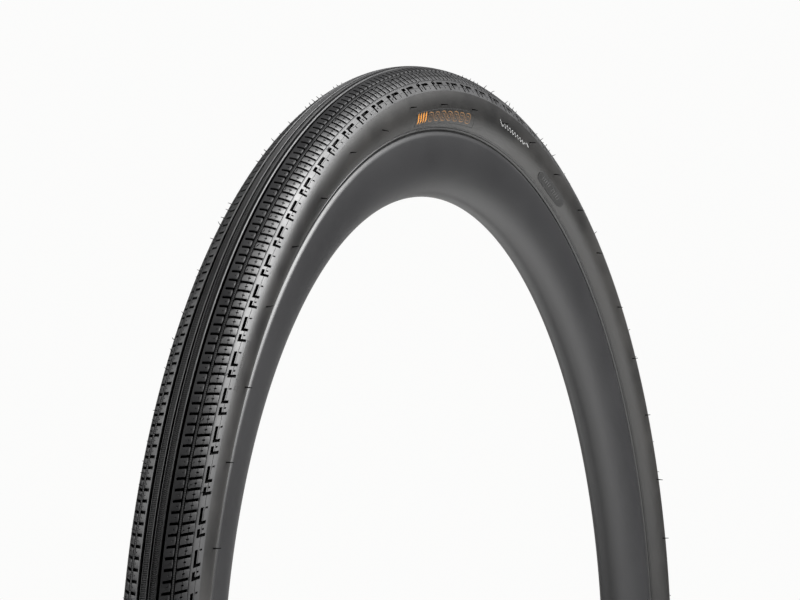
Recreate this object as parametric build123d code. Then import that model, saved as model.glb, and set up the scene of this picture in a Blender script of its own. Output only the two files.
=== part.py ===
from build123d import *
import os
from math import cos, hypot, radians, sin, sqrt

# A 42-622 bicycle tyre seated on a deep hollow rim, with its tubeless valve.
# Millimetres. The origin is the wheel's centre, +Y runs along the axle, +Z is up, and the valve is
# at the bottom of the wheel. Section points are (radius from the axle, offset along the axle).
# Angles round the tyre section are in degrees from the crown, towards +Y.

os.makedirs("parts", exist_ok=True)

# ---- Tyre section: two half ellipses that meet at the widest point ----
CROWN_RADIUS = 353.0
CROWN_RISE = 21.0
SHOULDER_DROP = 18.72
HALF_WIDTH = 20.64
WIDEST_RADIUS = CROWN_RADIUS - CROWN_RISE

# ---- Tyre layers, measured inwards from the outside ----
GAP = 0.05
BELT = 0.5
PLY = 0.4
LINER = 0.25
SIDEWALL = 0.75
CHAFER = 0.4
CROWN_BUILD = 3.6
SIDE_BUILD = SIDEWALL + GAP
BUILD_THINS_FROM = 40.0
BUILD_THINS_TO = 74.0
BELT_EDGE = 50.0
BELT_STEP = BELT_EDGE + 0.2
TREAD_EDGE = 72.0
SIDEWALL_TOP = 72.3
SIDEWALL_FOOT = 134.0
OUTER_PLY_EDGE = 131.0
INNER_PLY_LEAVES = 128.0
TURN_UP_ANGLES = (134.3, 138.0, 142.5)

# ---- Steps between the points that shape each curve ----
WING_STEPS = 12
BELT_STEPS = 40
OUTER_PLY_STEPS = 80
LEG_STEPS = 40
SIDEWALL_STEPS = 30
WRAP_STEPS = 9
CHAFER_STEPS = 8
FILM_STEPS = 12

# ---- Tread bands: (first angle, last angle, groove depth); both sides are alike ----
TREAD_BANDS = [
    (0.0, 1.5, 1.1),
    (1.5, 13.0, 0.0),
    (13.0, 16.5, 1.5),
    (16.5, 30.5, 0.0),
    (30.5, 33.0, 0.3),
    (33.0, 36.0, 1.1),
    (36.0, 53.0, 0.0),
    (53.0, 56.0, 0.25),
    (56.0, TREAD_EDGE, 0.0),
]

# ---- Bead ----
BEAD_RADIUS = 2.05
BEAD_CORE_RADIUS = 1.15
BEAD_SEAT = 310.8
TAPE = 0.15
TAPE_GAP = 0.02
FLANGE_FACE = 12.2
BEAD_OFFSET = FLANGE_FACE - GAP - BEAD_RADIUS
BEAD_CENTRE = BEAD_SEAT + TAPE_GAP + TAPE + GAP + BEAD_RADIUS
CHAFER_TOE = -160.0
FLANGE_RISES = (2.2, 1.0)
TOE_RISE = 1.0

# ---- Rim ----
FLANGE_TOP = 316.2
FLANGE_TIP = 0.7
TIP_CENTRE = (FLANGE_TOP - FLANGE_TIP, FLANGE_FACE + FLANGE_TIP)
RIM_HALF_WIDTH = 14.4
SHOULDER_RADIUS = 4.2
SHOULDER_OFFSET = RIM_HALF_WIDTH - SHOULDER_RADIUS
TIP_REACH = SHOULDER_RADIUS - FLANGE_TIP
TIP_RISE = sqrt(TIP_REACH ** 2 - (TIP_CENTRE[1] - SHOULDER_OFFSET) ** 2)
WIDEST_RIM_RADIUS = TIP_CENTRE[0] - TIP_RISE
NOSE_RADIUS = 280.4
FLANK_WALL = 1.7
NOSE_WALL = 1.9
BED_WALL = 1.8
SEAT_INNER_EDGE = 8.0
WELL_EDGE = 5.3
WELL_RADIUS = 307.5
VALVE_HOLE_RADIUS = 3.25
DRILL_OVERRUN = 6.5

# ---- Transfer films on the sidewall ----
FILM_OFF = 0.01
FILM_FACE = 0.06
SIZE_LABEL_SPAN = (88.0, 104.5)
SIZE_LABEL_BAND = (98.0, 130.0)
BAND_LABEL_SPAN = (74.5, 83.4)
BAND_LABEL_BAND = (92.0, 105.0)

# ---- Valve: heights are along Z, from the wheel's centre ----
VALVE_FOOT = -312.4
STEM_RADIUS = 2.95
STEM_HEAD_RADIUS = 4.2
STEM_HEAD_TOP = -311.2
STEM_TIP_RADIUS = 2.6
STEM_TIP_FOOT = -262.0
STEM_TOP = -252.0
STEM_BORE = 1.6
CORE_POCKET = 2.0
CORE_POCKET_FOOT = -262.0
RUNNING = 0.05

PLUG_RADIUS = 5.0
PLUG_TOP_RADIUS = 4.3
PLUG_CLEARANCE = 0.1
PLUG_SEAT = -WELL_RADIUS - TAPE - PLUG_CLEARANCE
PLUG_NECK_RADIUS = 3.15
PLUG_NECK_TOP = -306.2

NUT_RADIUS = 6.5
NUT_FOOT = -279.6
NUT_TOP = -274.4
NUT_RECESS_RADIUS = 5.35
NUT_RECESS_TOP = -278.2
NUT_CHAMFER = 0.5
O_RING_CENTRE = -279.3
O_RING_MEAN = 4.2
O_RING_WIRE = 0.98

CORE_BODY_RADIUS = 1.95
CORE_NOSE_RADIUS = 1.2
CORE_FOOT = -266.0
CORE_SHOULDER = -261.9
COLLAR_FOOT = STEM_TOP + GAP
COLLAR_TOP = -250.4
COLLAR_RADIUS = 2.2
COLLAR_FLAT = 1.9
CORE_TOP = -248.5
CORE_NECK_RADIUS = 1.75
GASKET_HEIGHT = 1.2

PIN_RADIUS = 0.75
PIN_FLANGE_RADIUS = 1.1
PIN_FOOT = -269.4
PIN_FLANGE_TOP = -268.4
PIN_TIP_FOOT = -242.8
PIN_TIP = -242.0
PIN_TIP_RADIUS = 0.95
PIN_SEAL_RADIUS = 1.35

LOCK_NUT_RADIUS = 1.9
LOCK_NUT_STAND_OFF = 2.05
LOCK_NUT_FOOT = CORE_TOP + LOCK_NUT_STAND_OFF
LOCK_NUT_HEIGHT = 2.5
LOCK_NUT_CHAMFER = 0.3


def spread(first, last, steps):
    """Even angles from first to last."""
    return [first + (last - first) * i / steps for i in range(steps + 1)]


def smooth_step(value):
    value = min(1.0, max(0.0, value))
    return value * value * (3.0 - 2.0 * value)


def casing_depth(angle):
    """Depth of the outer ply's outer face: deep under the tread, shallow under the sidewall."""
    share = smooth_step((abs(angle) - BUILD_THINS_FROM) / (BUILD_THINS_TO - BUILD_THINS_FROM))
    return CROWN_BUILD + (SIDE_BUILD - CROWN_BUILD) * share


def section_point(angle, depth):
    """The point at an angle round the tyre section, sunk by depth along the surface normal."""
    turn = radians(angle)
    rise = CROWN_RISE if cos(turn) > 0 else SHOULDER_DROP
    out, side = cos(turn) / rise, sin(turn) / HALF_WIDTH
    length = hypot(out, side)
    radius = WIDEST_RADIUS + rise * cos(turn) - depth * out / length
    return radius, HALF_WIDTH * sin(turn) - depth * side / length


def bead_point(angle, depth):
    """A point round the +Y bead: 0 faces the flange, -90 the seat and -180 the toe."""
    reach = BEAD_RADIUS - depth
    return BEAD_CENTRE + reach * sin(radians(angle)), BEAD_OFFSET + reach * cos(radians(angle))


def flange_points(depth):
    """The outside of the +Y bead, from the sidewall's foot down along the flange's face."""
    above = [section_point(angle, depth) for angle in TURN_UP_ANGLES]
    beside = [(BEAD_CENTRE + rise, FLANGE_FACE - GAP - depth) for rise in FLANGE_RISES]
    return above + beside


def mirrored(points):
    return [(radius, -offset) for radius, offset in points]


def across(half):
    """A whole outline from the half that starts at the crown and ends at the +Y side."""
    return mirrored(half[:0:-1]) + half


def ribbon(outer_points, inner_points):
    outer = Spline(*outer_points)
    inner = Spline(*inner_points)
    return make_face([outer, Line(outer @ 1, inner @ 1), inner, Line(inner @ 0, outer @ 0)])


def ring(face):
    return revolve(face, Axis.Y, 360)


def turned(outline):
    """A solid turned about the valve's line from (radius, height) corners."""
    profile = make_face(Polyline(*outline, close=True))
    return revolve(Plane.XZ * profile, Axis.Z, 360)


def both_sides(name, solid):
    return {name + "_left": solid, name + "_right": mirror(solid, Plane.XZ)}


def tread_outline():
    """The tread's outer line: arcs for ribs and groove floors, joined by groove walls."""
    right = [(-last, -first, depth) for first, last, depth in reversed(TREAD_BANDS)]
    lines = []
    for first, last, depth in right + TREAD_BANDS:
        middle = (first + last) / 2
        start = section_point(first, depth)
        if lines and hypot(start[0] - (lines[-1] @ 1).X, start[1] - (lines[-1] @ 1).Y) > GAP:
            lines.append(Line(lines[-1] @ 1, start))
        end = section_point(last, depth)
        lines.append(ThreePointArc(start, section_point(middle, depth), end))
    return lines


def tread_floor():
    """The tread's inner line: it steps up over the belt's edges."""
    wing = [
        section_point(angle, casing_depth(angle) - GAP)
        for angle in spread(TREAD_EDGE, BELT_STEP, WING_STEPS)
    ]
    over_belt = [
        section_point(angle, casing_depth(angle) - BELT - 2 * GAP)
        for angle in spread(BELT_STEP, -BELT_STEP, BELT_STEPS)
    ]
    near, middle = Spline(*wing), Spline(*over_belt)
    far = Spline(*mirrored(wing[::-1]))
    return [near, Line(near @ 1, middle @ 0), middle, Line(middle @ 1, far @ 0), far]


def make_tread_cap():
    top, floor = tread_outline(), tread_floor()
    ends = [Line(top[-1] @ 1, floor[0] @ 0), Line(floor[-1] @ 1, top[0] @ 0)]
    return ring(make_face(top + floor + ends))


def make_breaker_belt():
    angles = spread(-BELT_EDGE, BELT_EDGE, BELT_STEPS)
    outer = [section_point(angle, casing_depth(angle) - GAP - BELT) for angle in angles]
    inner = [section_point(angle, casing_depth(angle) - GAP) for angle in angles]
    return ring(ribbon(outer, inner))


def make_outer_ply():
    angles = spread(-OUTER_PLY_EDGE, OUTER_PLY_EDGE, OUTER_PLY_STEPS)
    outer = [section_point(angle, casing_depth(angle)) for angle in angles]
    inner = [section_point(angle, casing_depth(angle) + PLY) for angle in angles]
    return ring(ribbon(outer, inner))


def make_inner_ply():
    """The carcass ply: it runs over the cavity, round each bead core and up to its turn-up."""
    angles = spread(0, INNER_PLY_LEAVES, LEG_STEPS)
    wrap = spread(-180, 0, WRAP_STEPS)
    turn_up = CHAFER + GAP

    def half(leg_depth, wrap_depth):
        leg = [section_point(angle, casing_depth(angle) + leg_depth) for angle in angles]
        toe = [(BEAD_CENTRE + TOE_RISE, BEAD_OFFSET - BEAD_RADIUS + wrap_depth)]
        bead = [bead_point(angle, wrap_depth) for angle in wrap]
        return leg + toe + bead + flange_points(wrap_depth)[::-1]

    cavity_side = half(2 * PLY + GAP, turn_up)
    core_side = half(PLY + GAP, turn_up + PLY)
    return ring(ribbon(across(cavity_side), across(core_side)))


def make_inner_liner():
    """The airtight skin inside the carcass ply, down to the middle of each bead's toe."""
    angles = spread(0, INNER_PLY_LEAVES, LEG_STEPS)

    def half(depth, inset):
        leg = [section_point(angle, casing_depth(angle) + depth) for angle in angles]
        toe_face = BEAD_OFFSET - BEAD_RADIUS + CHAFER - inset
        return leg + [(BEAD_CENTRE + TOE_RISE, toe_face), (BEAD_CENTRE, toe_face)]

    near_ply = half(2 * (PLY + GAP), 0.0)
    near_air = half(2 * (PLY + GAP) + LINER, LINER)
    return ring(ribbon(across(near_ply), across(near_air)))


def make_sidewall():
    angles = spread(SIDEWALL_TOP, SIDEWALL_FOOT, SIDEWALL_STEPS)
    outer = [section_point(angle, 0.0) for angle in angles]
    inner = [section_point(angle, SIDEWALL) for angle in angles]
    return ring(ribbon(outer, inner))


def make_chafer():
    wrap = spread(0, CHAFER_TOE, CHAFER_STEPS)

    def side(depth):
        return flange_points(depth) + [bead_point(angle, depth) for angle in wrap]

    return ring(ribbon(side(0.0), side(CHAFER)))


def make_bead_core():
    return ring(Pos(BEAD_CENTRE, BEAD_OFFSET) * Circle(BEAD_CORE_RADIUS))


def make_film(span, band):
    """A thin transfer on the +Y sidewall, over a span round the wheel and a band of the section."""
    angles = spread(*band, FILM_STEPS)
    outer = [section_point(angle, -FILM_FACE) for angle in angles]
    inner = [section_point(angle, -FILM_OFF) for angle in angles]
    film = revolve(ribbon(outer, inner), Axis.Y, span[1] - span[0])
    return film.rotate(Axis.Y, -span[1])


def bed_points(lift):
    """The rim bed from flange to flange, lifted off the well and seats."""
    half = [
        (WELL_RADIUS + lift, WELL_EDGE),
        (BEAD_SEAT + lift, SEAT_INNER_EDGE),
        (BEAD_SEAT + lift, FLANGE_FACE - (GAP if lift else 0.0)),
    ]
    return mirrored(half[::-1]) + half


def valve_hole():
    """A drill along the valve's line, from the tyre's cavity to below the rim's nose."""
    height = BEAD_SEAT - NOSE_RADIUS + 2 * DRILL_OVERRUN
    return Pos(0, 0, -(BEAD_SEAT + NOSE_RADIUS) / 2) * Cylinder(VALVE_HOLE_RADIUS, height)


def flange_lines():
    """The +Y flange, from the widest point over its round shoulder and tip to the inner face."""
    tip_radius, tip_offset = TIP_CENTRE
    share = SHOULDER_RADIUS / TIP_REACH
    join = (
        WIDEST_RIM_RADIUS + TIP_RISE * share,
        SHOULDER_OFFSET + (tip_offset - SHOULDER_OFFSET) * share,
    )
    widest = (WIDEST_RIM_RADIUS, RIM_HALF_WIDTH)
    shoulder = TangentArc(widest, join, tangent=(1, 0))
    tip = ThreePointArc(join, (FLANGE_TOP, tip_offset), (tip_radius, FLANGE_FACE))
    return [shoulder, tip]


def make_rim():
    """A hollow rim: elliptical flanks that meet at the nose, round flanges and a stepped bed."""
    depth = WIDEST_RIM_RADIUS - NOSE_RADIUS
    flank = EllipticalCenterArc((WIDEST_RIM_RADIUS, 0), depth, RIM_HALF_WIDTH, 90, arc_size=180)
    left = flange_lines()
    right = [mirror(line, Plane.XZ) for line in left]
    foot = (TIP_CENTRE[0], FLANGE_FACE)
    bed = Polyline(*mirrored([foot]), *bed_points(0.0), foot)
    shell = make_face([flank, *right, bed, *left])
    hollow = Pos(WIDEST_RIM_RADIUS, 0) * Ellipse(depth - NOSE_WALL, RIM_HALF_WIDTH - FLANK_WALL)
    under_bed = [(CROWN_RADIUS, -RIM_HALF_WIDTH), (BEAD_SEAT - BED_WALL, -RIM_HALF_WIDTH)]
    under_bed += [(BEAD_SEAT - BED_WALL, -SEAT_INNER_EDGE), (WELL_RADIUS - BED_WALL, -WELL_EDGE)]
    above_hollow = make_face(Polyline(*under_bed, *mirrored(under_bed[::-1]), close=True))
    return ring(shell - (hollow - above_hollow)) - valve_hole()


def make_rim_tape():
    top, foot = bed_points(TAPE_GAP + TAPE), bed_points(TAPE_GAP)
    return ring(make_face(Polyline(*top, *foot[::-1], close=True))) - valve_hole()


def make_valve_stem():
    return turned([
        (STEM_BORE, VALVE_FOOT),
        (STEM_HEAD_RADIUS, VALVE_FOOT),
        (STEM_HEAD_RADIUS, STEM_HEAD_TOP),
        (STEM_RADIUS, STEM_HEAD_TOP),
        (STEM_RADIUS, STEM_TIP_FOOT),
        (STEM_TIP_RADIUS, STEM_TIP_FOOT),
        (STEM_TIP_RADIUS, STEM_TOP),
        (CORE_POCKET, STEM_TOP),
        (CORE_POCKET, CORE_POCKET_FOOT),
        (STEM_BORE, CORE_POCKET_FOOT),
    ])


def make_valve_base_plug():
    bore = STEM_RADIUS + GAP
    foot = STEM_HEAD_TOP + GAP
    return turned([
        (bore, foot),
        (PLUG_TOP_RADIUS, foot),
        (PLUG_RADIUS, foot + PLUG_RADIUS - PLUG_TOP_RADIUS),
        (PLUG_RADIUS, PLUG_SEAT),
        (PLUG_NECK_RADIUS, PLUG_SEAT),
        (PLUG_NECK_RADIUS, PLUG_NECK_TOP),
        (bore, PLUG_NECK_TOP),
    ])


def make_rim_nut():
    bore = STEM_RADIUS + RUNNING
    return turned([
        (NUT_RECESS_RADIUS, NUT_FOOT),
        (NUT_RADIUS - NUT_CHAMFER, NUT_FOOT),
        (NUT_RADIUS, NUT_FOOT + NUT_CHAMFER),
        (NUT_RADIUS, NUT_TOP - NUT_CHAMFER),
        (NUT_RADIUS - NUT_CHAMFER, NUT_TOP),
        (bore, NUT_TOP),
        (bore, NUT_RECESS_TOP),
        (NUT_RECESS_RADIUS, NUT_RECESS_TOP),
    ])


def make_rim_nut_o_ring():
    return Pos(0, 0, O_RING_CENTRE) * Torus(O_RING_MEAN, O_RING_WIRE)


def make_core_body():
    """The valve core's tube, with two wrench flats on its collar."""
    body = turned([
        (PIN_RADIUS + RUNNING, CORE_FOOT),
        (CORE_NOSE_RADIUS, CORE_FOOT),
        (CORE_NOSE_RADIUS, CORE_SHOULDER),
        (CORE_BODY_RADIUS, CORE_SHOULDER),
        (CORE_BODY_RADIUS, COLLAR_FOOT),
        (COLLAR_RADIUS, COLLAR_FOOT),
        (COLLAR_RADIUS, COLLAR_TOP),
        (CORE_NECK_RADIUS, COLLAR_TOP),
        (CORE_NECK_RADIUS, CORE_TOP),
        (PIN_RADIUS + RUNNING, CORE_TOP),
    ])
    collar_height = COLLAR_TOP - COLLAR_FOOT
    slab = Box(2 * COLLAR_RADIUS, COLLAR_RADIUS, collar_height)
    middle = (COLLAR_TOP + COLLAR_FOOT) / 2
    for side in (-1, 1):
        body -= Pos(0, side * (COLLAR_FLAT + COLLAR_RADIUS / 2), middle) * slab
    return body


def make_core_gasket():
    inner, outer = CORE_NOSE_RADIUS + GAP, STEM_BORE - GAP
    top = CORE_SHOULDER - GAP
    foot = top - GASKET_HEIGHT
    return turned([(inner, foot), (outer, foot), (outer, top), (inner, top)])


def make_valve_pin():
    return turned([
        (0, PIN_FOOT),
        (PIN_FLANGE_RADIUS, PIN_FOOT),
        (PIN_FLANGE_RADIUS, PIN_FLANGE_TOP),
        (PIN_RADIUS, PIN_FLANGE_TOP),
        (PIN_RADIUS, PIN_TIP_FOOT),
        (PIN_TIP_RADIUS, PIN_TIP_FOOT),
        (PIN_TIP_RADIUS, PIN_TIP),
        (0, PIN_TIP),
    ])


def make_pin_seal():
    inner = PIN_RADIUS + GAP
    foot, top = PIN_FLANGE_TOP + GAP, CORE_FOOT - GAP
    return turned([(inner, foot), (PIN_SEAL_RADIUS, foot), (PIN_SEAL_RADIUS, top), (inner, top)])


def make_pin_nut():
    bore = PIN_RADIUS + RUNNING
    top = LOCK_NUT_FOOT + LOCK_NUT_HEIGHT
    return turned([
        (bore, LOCK_NUT_FOOT),
        (LOCK_NUT_RADIUS - LOCK_NUT_CHAMFER, LOCK_NUT_FOOT),
        (LOCK_NUT_RADIUS, LOCK_NUT_FOOT + LOCK_NUT_CHAMFER),
        (LOCK_NUT_RADIUS, top - LOCK_NUT_CHAMFER),
        (LOCK_NUT_RADIUS - LOCK_NUT_CHAMFER, top),
        (bore, top),
    ])


nodes = {
    "tread_cap": make_tread_cap(),
    "breaker_belt": make_breaker_belt(),
    "casing_outer_ply": make_outer_ply(),
    "casing_inner_ply": make_inner_ply(),
    "inner_liner": make_inner_liner(),
    **both_sides("sidewall", make_sidewall()),
    **both_sides("chafer", make_chafer()),
    **both_sides("bead_core", make_bead_core()),
    **both_sides("size_label", make_film(SIZE_LABEL_SPAN, SIZE_LABEL_BAND)),
    **both_sides("band_label", make_film(BAND_LABEL_SPAN, BAND_LABEL_BAND)),
    "rim": make_rim(),
    "rim_tape": make_rim_tape(),
    "valve_stem": make_valve_stem(),
    "valve_base_plug": make_valve_base_plug(),
    "rim_nut": make_rim_nut(),
    "rim_nut_o_ring": make_rim_nut_o_ring(),
    "core_body": make_core_body(),
    "core_gasket": make_core_gasket(),
    "valve_pin": make_valve_pin(),
    "pin_seal": make_pin_seal(),
    "pin_nut": make_pin_nut(),
}

for name, solid in nodes.items():
    export_step(solid, f"parts/{name}.step")
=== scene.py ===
import math

import bmesh
import bpy
import numpy as np
from mathutils import Matrix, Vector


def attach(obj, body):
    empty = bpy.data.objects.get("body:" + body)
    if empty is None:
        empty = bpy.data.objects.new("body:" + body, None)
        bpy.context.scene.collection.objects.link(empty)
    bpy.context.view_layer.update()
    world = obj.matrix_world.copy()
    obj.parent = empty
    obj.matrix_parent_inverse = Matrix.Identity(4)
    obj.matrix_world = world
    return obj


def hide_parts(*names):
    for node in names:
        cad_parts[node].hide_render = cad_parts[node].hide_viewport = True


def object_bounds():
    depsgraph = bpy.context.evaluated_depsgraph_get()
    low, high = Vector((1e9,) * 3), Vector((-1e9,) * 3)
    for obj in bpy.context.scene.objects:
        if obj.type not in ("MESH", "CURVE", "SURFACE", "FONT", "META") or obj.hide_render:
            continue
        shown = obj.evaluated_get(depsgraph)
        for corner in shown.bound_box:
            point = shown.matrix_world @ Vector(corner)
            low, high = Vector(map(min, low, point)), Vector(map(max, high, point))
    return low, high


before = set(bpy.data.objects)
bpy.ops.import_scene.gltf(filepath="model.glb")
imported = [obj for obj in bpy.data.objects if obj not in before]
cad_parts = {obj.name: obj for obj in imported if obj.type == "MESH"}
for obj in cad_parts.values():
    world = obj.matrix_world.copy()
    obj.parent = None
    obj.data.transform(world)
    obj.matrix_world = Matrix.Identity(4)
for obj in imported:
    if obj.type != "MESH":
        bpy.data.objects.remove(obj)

cad_low, cad_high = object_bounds()

# A bicycle tyre on a deep rim. The wheel's centre is the origin, +Y is the axle and +Z is up.
# Section sizes are in millimetres, and MM turns them into the scene's metres. "theta" is the
# angle round the wheel, from +X towards +Z, and "t" is the angle round the tyre section, from
# the crown towards +Y. Both are in degrees.
MM = 0.001
RNG = np.random.default_rng(7)
# edges sharper than this many degrees stay sharp in the shading
SHARP_ANGLE = 35.0
# rows of points that start closer together than this many degrees are joined point to point
SAME_START = 0.9

# ---- Tyre section, as in the CAD model ----
CROWN_RISE = 21.0
SHOULDER_DROP = 18.72
HALF_WIDTH = 20.64
WIDEST_RADIUS = 332.0
TREAD_EDGE = 72.0
SIDEWALL_TOP = 72.05
SIDEWALL_FOOT = 134.0
SIDEWALL_THICKNESS = 0.75
BELT_EDGE = 50.2


# ======== Mesh helpers ========
def smooth_step(value):
    value = np.clip(value, 0.0, 1.0)
    return value * value * (3.0 - 2.0 * value)


def section(t, depth):
    """Radius and axle offset, in mm, of the tyre section at angle t, sunk by depth."""
    turn = np.radians(t)
    rise = np.where(np.cos(turn) > 0, CROWN_RISE, SHOULDER_DROP)
    out, side = np.cos(turn) / rise, np.sin(turn) / HALF_WIDTH
    length = np.hypot(out, side)
    radius = WIDEST_RADIUS + rise * np.cos(turn) - depth * out / length
    return radius, HALF_WIDTH * np.sin(turn) - depth * side / length


def wheel_points(theta, radius, offset):
    """Points in metres from the angle round the wheel, the radius and the axle offset in mm."""
    turn = np.radians(theta)
    columns = np.broadcast_arrays(radius * np.cos(turn), offset, radius * np.sin(turn))
    return np.stack(columns, axis=-1) * MM


def tyre_loop(theta, t, depth):
    """A closed line of points round the tyre, as (angles, points)."""
    theta, t, depth = np.broadcast_arrays(np.asarray(theta, float), t, depth)
    return theta, wheel_points(theta, *section(t, depth))


def even_angles(count):
    return np.arange(count) * 360.0 / count


def even_turns(count):
    """The same angles in radians, for circles about the upright axis."""
    return np.arange(count) * 2 * math.pi / count


def level_circle(turn, reach, height):
    """Points of a level circle about the upright axis; reach may change with the angle."""
    return np.stack([reach * np.cos(turn), reach * np.sin(turn), np.full(len(turn), height)], axis=1)


def quad_strip(first, second, count):
    """Faces between two closed rows with equal counts, given each row's first index."""
    here = np.arange(count)
    after = (here + 1) % count
    return np.stack([first + here, second + here, second + after, first + after], axis=1)


def zip_strip(start_a, theta_a, start_b, theta_b):
    """Triangles between two closed rows whose counts differ, matched by angle."""
    order_a, order_b = np.argsort(theta_a % 360.0), np.argsort(theta_b % 360.0)
    ring_a, ring_b = (theta_a % 360.0)[order_a], (theta_b % 360.0)[order_b]
    middle_a = (ring_a + np.append(ring_a[1:], ring_a[0] + 360.0)) / 2
    middle_b = (ring_b + np.append(ring_b[1:], ring_b[0] + 360.0)) / 2
    across_a = np.searchsorted(middle_b, middle_a) % len(ring_b)
    across_b = np.searchsorted(middle_a, middle_b, side="right") % len(ring_a)
    rows_a = np.stack(
        [order_a + start_a, order_b[across_a] + start_b, np.roll(order_a, -1) + start_a], axis=1
    )
    rows_b = np.stack(
        [order_b + start_b, np.roll(order_b, -1) + start_b, order_a[across_b] + start_a], axis=1
    )
    return np.concatenate([rows_a, rows_b])


def make_object(name, points, quads, triangles):
    """A mesh object from numpy arrays, smooth apart from its sharp edges."""
    mesh = bpy.data.meshes.new(name)
    quads = np.asarray(quads, np.int32).reshape(-1, 4)
    triangles = np.asarray(triangles, np.int32).reshape(-1, 3)
    corners = np.concatenate([quads.ravel(), triangles.ravel()])
    totals = np.concatenate([np.full(len(quads), 4), np.full(len(triangles), 3)])
    starts = np.concatenate([[0], np.cumsum(totals)[:-1]])
    mesh.vertices.add(len(points))
    mesh.vertices.foreach_set("co", np.asarray(points, np.float32).ravel())
    mesh.loops.add(len(corners))
    mesh.loops.foreach_set("vertex_index", corners.astype(np.int32))
    mesh.polygons.add(len(totals))
    mesh.polygons.foreach_set("loop_start", starts.astype(np.int32))
    mesh.polygons.foreach_set("use_smooth", np.ones(len(totals), bool))
    mesh.update(calc_edges=True)
    mesh.validate()
    mesh.set_sharp_from_angle(angle=math.radians(SHARP_ANGLE))
    piece = bpy.data.objects.new(name, mesh)
    bpy.context.collection.objects.link(piece)
    return piece


def ring_solid(name, loops):
    """A closed ring from closed lines that follow one another round its section."""
    starts = np.cumsum([0] + [len(theta) for theta, _ in loops])
    points = np.concatenate([line for _, line in loops])
    quads, triangles = [], []
    for here in range(len(loops)):
        after = (here + 1) % len(loops)
        theta_a, theta_b = loops[here][0], loops[after][0]
        same = len(theta_a) == len(theta_b) and abs(theta_a[0] - theta_b[0]) < SAME_START
        if same:
            quads.append(quad_strip(starts[here], starts[after], len(theta_a)))
        else:
            triangles.append(zip_strip(starts[here], theta_a, starts[after], theta_b))
    triangles = np.concatenate(triangles) if triangles else []
    return make_object(name, points, np.concatenate(quads), triangles)


def settle(piece, body, node):
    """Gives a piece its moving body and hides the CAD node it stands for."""
    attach(piece, body)
    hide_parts(node)
    return piece


# ======== Tread ========
CENTRE_GROOVE = 1.4
SIDE_GROOVE = 1.7
OUTER_GROOVE = 1.4
SMOOTH_COUNT = 1440
RING_COUNT = 720
KNURL_COUNT = 2070
BLOCK_COUNT = 396
SHOULDER_COUNT = 104
BLOCK_PITCH = 360.0 / BLOCK_COUNT
SHOULDER_PITCH = 360.0 / SHOULDER_COUNT


def plain_loops(rows, count=SMOOTH_COUNT):
    """Smooth lines from (section angle, depth) rows."""
    return [tyre_loop(even_angles(count), t, depth) for t, depth in rows]


def pattern_loops(count, marks, rows, sweep, depth, phase=0.0):
    """Lines of a pattern repeated count times round the wheel.

    marks are places within one repeat, as shares of it; rows are (section angle, rim) pairs, where
    rim is None inside the pattern or a fixed depth on its edges; sweep(t) turns a row round the
    wheel in degrees; depth(marks, t) gives depths inside.
    """
    marks = np.asarray(marks, float)
    repeats = (np.arange(count)[:, None] + marks[None, :] + phase).ravel() * 360.0 / count
    loops = []
    for t, edge in rows:
        depths = depth(marks, t) if edge is None else np.full(len(marks), edge)
        loops.append(tyre_loop(repeats + sweep(t), t, np.tile(depths, count)))
    return loops


def no_sweep(t):
    return 0.0


def knurl_loops(first, last, sweep, crest, valley, edge):
    """A fine hatch of ridges across a rib, from section angle first to last."""
    middle = (first + last) / 2
    fade = 0.15
    rows = [(first, edge), (first + fade, None), (middle, None), (last - fade, None), (last, edge)]

    def depth(marks, t):
        return np.where(marks < 0.25, crest, valley)

    return pattern_loops(KNURL_COUNT, (0.0, 0.5), rows, sweep, depth)


def edge_depth(marks, share, sunk):
    """Depth of the slightly rounded block edges on both sides of a slot."""
    return np.where((marks <= 0.0) | (np.abs(marks - share) < 0.001), sunk, 0.0)


def slot_depth(marks, deep, share, wall):
    """Depth across one repeat for a slot that takes up share of it, with walls of width wall."""
    inside = (marks > wall / 2) & (marks < share - wall / 2)
    return np.where(inside, deep, 0.0)


def row_c_loops():
    """The inner block row: slots closed at their inner ends, a dimple and a pointed outer bevel."""
    share, wall, deep = 0.29, 0.025, 1.5
    bevel_top, bevel_slope, corner_slope = 29.2, 0.34, 0.20
    dimple_low, dimple_high, dimple_reach, dimple_depth = 25.2, 26.8, 0.03, 0.45
    middle = (1.0 + share) / 2
    marks = (0.0, wall, 0.14, share - wall, share, 0.34, 0.59, 0.62, 0.67, 0.70, 0.95)

    def depth(marks, t):
        slot = slot_depth(marks, deep, share, wall)
        block = edge_depth(marks, share, 0.06)
        if t > bevel_top:
            corner = np.abs(marks - middle) / (middle - share)
            block = np.maximum(block, (t - bevel_top) * (bevel_slope + corner_slope * corner))
        if dimple_low < t < dimple_high:
            block = np.where(np.abs(marks - middle) < dimple_reach, dimple_depth, block)
        return np.maximum(slot, block)

    def sweep(t):
        return -0.16 * (t - 19.0) / 12.0

    inside = [19.25, 22.0, 25.0, 25.3, 26.6, 26.9, 28.9, 29.25, 30.0, 30.6]
    rows = [(19.0, 0.0)] + [(t, None) for t in inside] + [(30.85, 0.95)]
    return pattern_loops(BLOCK_COUNT, marks, rows, sweep, depth, phase=0.1)


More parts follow.
